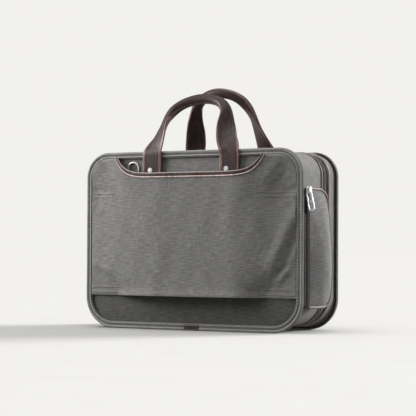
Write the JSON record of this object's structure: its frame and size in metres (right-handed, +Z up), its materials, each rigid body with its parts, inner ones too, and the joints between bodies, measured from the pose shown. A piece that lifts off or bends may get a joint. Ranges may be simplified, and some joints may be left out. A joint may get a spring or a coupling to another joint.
{
  "type": "laptop briefcase with trolley sleeve",
  "caption": "Soft grey twill laptop briefcase with a trolley sleeve on its rear face, folding leather handles, a zipped side pocket and bound rims.",
  "frame": {"origin": "middle of the rear binding's bottom edge, in the plane of the rear binding's face, on the floor", "axes": "+X across the case to the side pocket, +Y from the trolley side to the front, +Z up"},
  "size_m": [0.4418, 0.1757, 0.4187],
  "materials": {
    "twill": "grey twill, matt, fine slubs",
    "binding": "grey woven binding tape, matt",
    "lining": "dark woven lining, slight sheen",
    "leather": "dark brown grained leather, satin",
    "board": "matt stiffening board",
    "zip_tape": "black zip tape with a coil chain",
    "steel": "polished nickel plate"
  },
  "bodies": {
    "rear_case": {"rear_panel": "twill", "rear_stiffener": "board", "rear_rim": "binding", "rear_gusset": "twill", "rear_piping": "leather", "rear_zip_tape": "zip_tape", "trolley_sleeve": "twill", "sleeve_trim": "leather", "label_tab": "leather", "base_board": "board", "laptop_pad": "twill", "tablet_pocket": "lining", "rear_handle_tab_left": "leather", "rear_handle_tab_right": "leather", "rear_rivet_left": "steel", "rear_rivet_right": "steel", "d_ring_tab_left": "leather", "side_zip_tape": "zip_tape"},
    "front_case": {"front_panel": "twill", "front_stiffener": "board", "front_rim": "binding", "front_gusset": "twill", "front_piping": "leather", "front_zip_tape": "zip_tape", "organizer_pocket": "lining", "front_pocket": "twill", "front_pocket_welt": "leather", "front_handle_tab_left": "leather", "front_handle_tab_right": "leather", "front_rivet_left": "steel", "front_rivet_right": "steel", "d_ring_tab_right": "leather"},
    "rear_handle": {"rear_handle_legs": "leather", "rear_handle_grip": "leather"},
    "front_handle": {"front_handle_legs": "leather", "front_handle_grip": "leather"},
    "d_ring_left_loop": {"d_ring_left": "steel"},
    "d_ring_right_loop": {"d_ring_right": "steel"},
    "side_pocket": {"side_pocket_shell": "twill", "side_pocket_piping": "leather"},
    "side_zip_slider": {"side_slider": "steel"},
    "side_zip_pull": {"side_pull": "steel"},
    "main_zip_slider_left": {"main_slider_left": "steel"},
    "main_zip_pull_left": {"main_pull_left": "steel"},
    "main_zip_slider_right": {"main_slider_right": "steel"},
    "main_zip_pull_right": {"main_pull_right": "steel"},
    "front_zip_slider": {"front_slider": "steel"},
    "front_zip_pull": {"front_pull": "steel"}
  },
  "joints": [
    {"name": "case_open", "type": "hinge", "parent": "rear_case", "child": "front_case", "pos_m": [0, 0.099, 0.009], "axis": [-1, 0, 0], "range_deg": [0, 40]},
    {"name": "rear_handle_fold", "type": "hinge", "parent": "rear_case", "child": "rear_handle", "pos_m": [0, -0.0019, 0.307], "axis": [1, 0, 0], "range_deg": [-5, 135]},
    {"name": "front_handle_fold", "type": "hinge", "parent": "front_case", "child": "front_handle", "pos_m": [0, 0.1485, 0.307], "axis": [-1, 0, 0], "range_deg": [-5, 135]},
    {"name": "d_ring_left_swing", "type": "hinge", "parent": "rear_case", "child": "d_ring_left_loop", "pos_m": [-0.115, 0.0018, 0.268], "axis": [1, 0, 0], "range_deg": [0, 38]},
    {"name": "d_ring_right_swing", "type": "hinge", "parent": "front_case", "child": "d_ring_right_loop", "pos_m": [0.115, 0.1448, 0.268], "axis": [-1, 0, 0], "range_deg": [0, 38]},
    {"name": "side_pocket_open", "type": "hinge", "parent": "rear_case", "child": "side_pocket", "pos_m": [0.206, 0.0813, 0.14], "axis": [0, 0, 1], "range_deg": [0, 20]},
    {"name": "side_zip_slide", "type": "slide", "parent": "rear_case", "child": "side_zip_slider", "axis": [0, 0, -1], "range_m": [0, 0.18]},
    {"name": "side_pull_swing", "type": "hinge", "parent": "side_zip_slider", "child": "side_zip_pull", "pos_m": [0.214, 0.0099, 0.2388], "axis": [-1, 0, 0], "range_deg": [0, 150]},
    {"name": "main_zip_left_slide", "type": "slide", "parent": "rear_case", "child": "main_zip_slider_left", "axis": [-1, 0, 0], "range_m": [0, 0.12]},
    {"name": "main_pull_left_swing", "type": "hinge", "parent": "main_zip_slider_left", "child": "main_zip_pull_left", "pos_m": [-0.0117, 0.099, 0.3038], "axis": [0, 1, 0], "range_deg": [0, 100]},
    {"name": "main_zip_right_slide", "type": "slide", "parent": "rear_case", "child": "main_zip_slider_right", "axis": [1, 0, 0], "range_m": [0, 0.12]},
    {"name": "main_pull_right_swing", "type": "hinge", "parent": "main_zip_slider_right", "child": "main_zip_pull_right", "pos_m": [0.0117, 0.099, 0.3038], "axis": [0, -1, 0], "range_deg": [0, 100]},
    {"name": "front_zip_slide", "type": "slide", "parent": "front_case", "child": "front_zip_slider", "axis": [-1, 0, 0], "range_m": [0, 0.27]},
    {"name": "front_pull_swing", "type": "hinge", "parent": "front_zip_slider", "child": "front_zip_pull", "pos_m": [0.1413, 0.156, 0.205], "axis": [0, 0, -1], "range_deg": [0, 120]}
  ]
}
